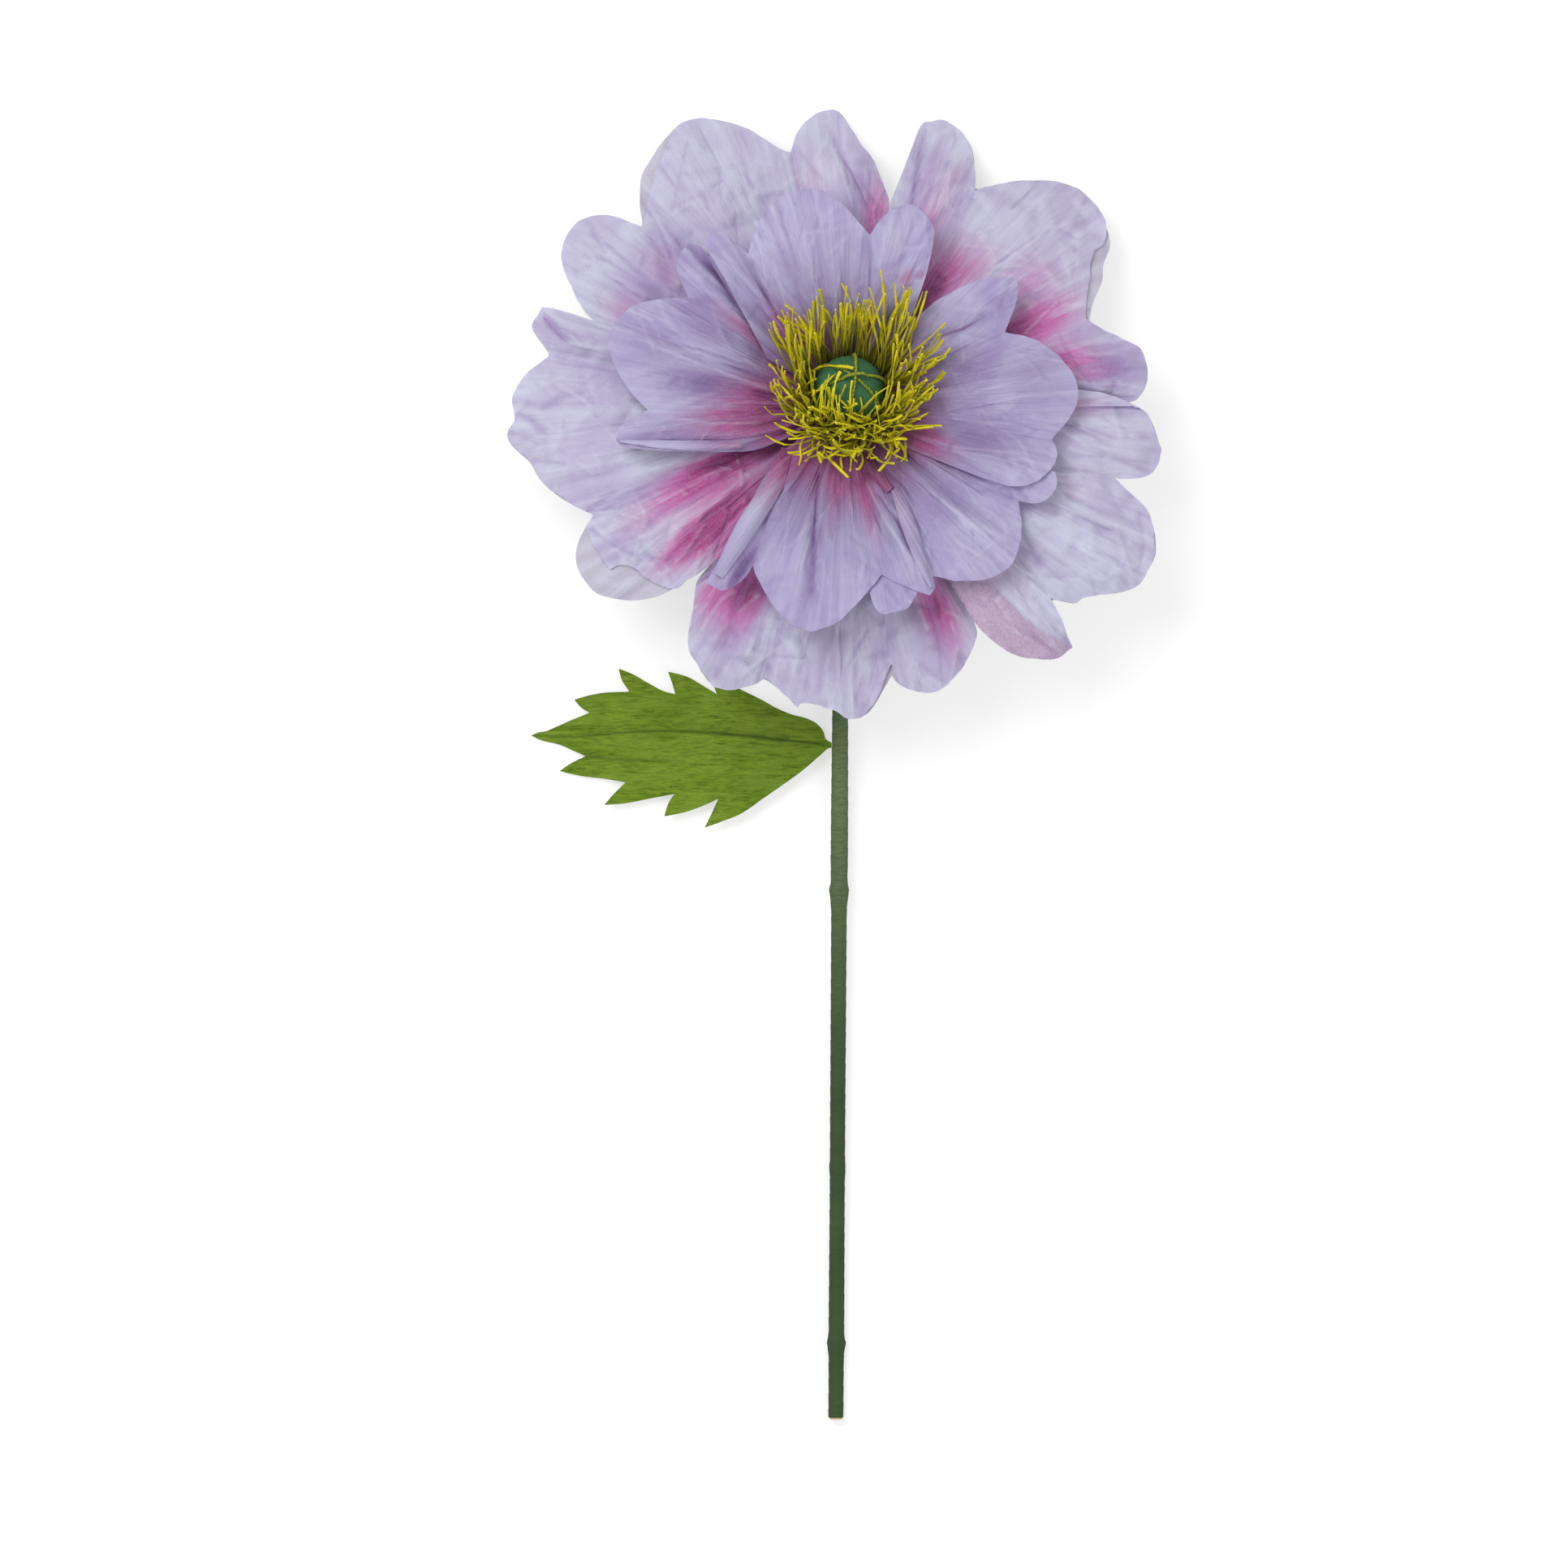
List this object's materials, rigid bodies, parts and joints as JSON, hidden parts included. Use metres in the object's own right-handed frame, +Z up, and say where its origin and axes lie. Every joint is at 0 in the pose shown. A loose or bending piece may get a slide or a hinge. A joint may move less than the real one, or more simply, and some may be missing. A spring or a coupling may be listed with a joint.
{
  "type": "paper flower",
  "caption": "Large handmade paper flower on a straight wrapped cane, with layered lilac petals, a fringed yellow-green centre round a dark green pod, and a toothed green leaf.",
  "frame": {"origin": "on the table below the middle of the whole flower's bounding box", "axes": "the flower lies on its back: +Y from the stem's foot to the head, +Z up out of the open flower, +X to the flower's right as seen from above"},
  "size_m": [0.3932, 0.8006, 0.1429],
  "materials": {
    "lilac_paper": "matte tissue paper, dyed from pale lilac to magenta at the base, creased",
    "pale_paper": "matte translucent tissue paper, nearly undyed",
    "pod_crepe": "stretched crepe paper, dark green",
    "stamen_crepe": "cut and twisted crepe paper, yellow-green",
    "leaf_crepe": "crepe paper with its grain along the leaf, green",
    "green_tape": "crepe tape wound in a spiral, dull green",
    "bamboo": "natural cane, dull",
    "wire_steel": "drawn wire, dull"
  },
  "bodies": {
    "root": {"bamboo_cane": "bamboo", "stem_tape": "green_tape", "neck_wire": "wire_steel", "neck_tape": "green_tape", "petal_tie": "wire_steel", "seed_pod": "pod_crepe", "pod_cord_1": "stamen_crepe", "pod_cord_2": "stamen_crepe", "pod_cord_3": "stamen_crepe", "stamen_fringe_inner": "stamen_crepe", "stamen_fringe_outer": "stamen_crepe", "inner_petal_left": "lilac_paper", "inner_petal_top": "lilac_paper", "inner_petal_right": "lilac_paper", "inner_petal_lower_right": "lilac_paper", "inner_petal_bottom": "lilac_paper", "outer_petal_upper_left": "lilac_paper", "outer_petal_upper_right": "lilac_paper", "outer_petal_lower_right": "lilac_paper", "outer_petal_bottom": "lilac_paper", "outer_petal_left": "lilac_paper", "outer_petal_upper_left_backing": "pale_paper", "outer_petal_upper_right_backing": "pale_paper", "outer_petal_lower_right_backing": "pale_paper", "outer_petal_bottom_backing": "pale_paper", "outer_petal_left_backing": "pale_paper", "leaf": "leaf_crepe"}
  },
  "joints": []
}
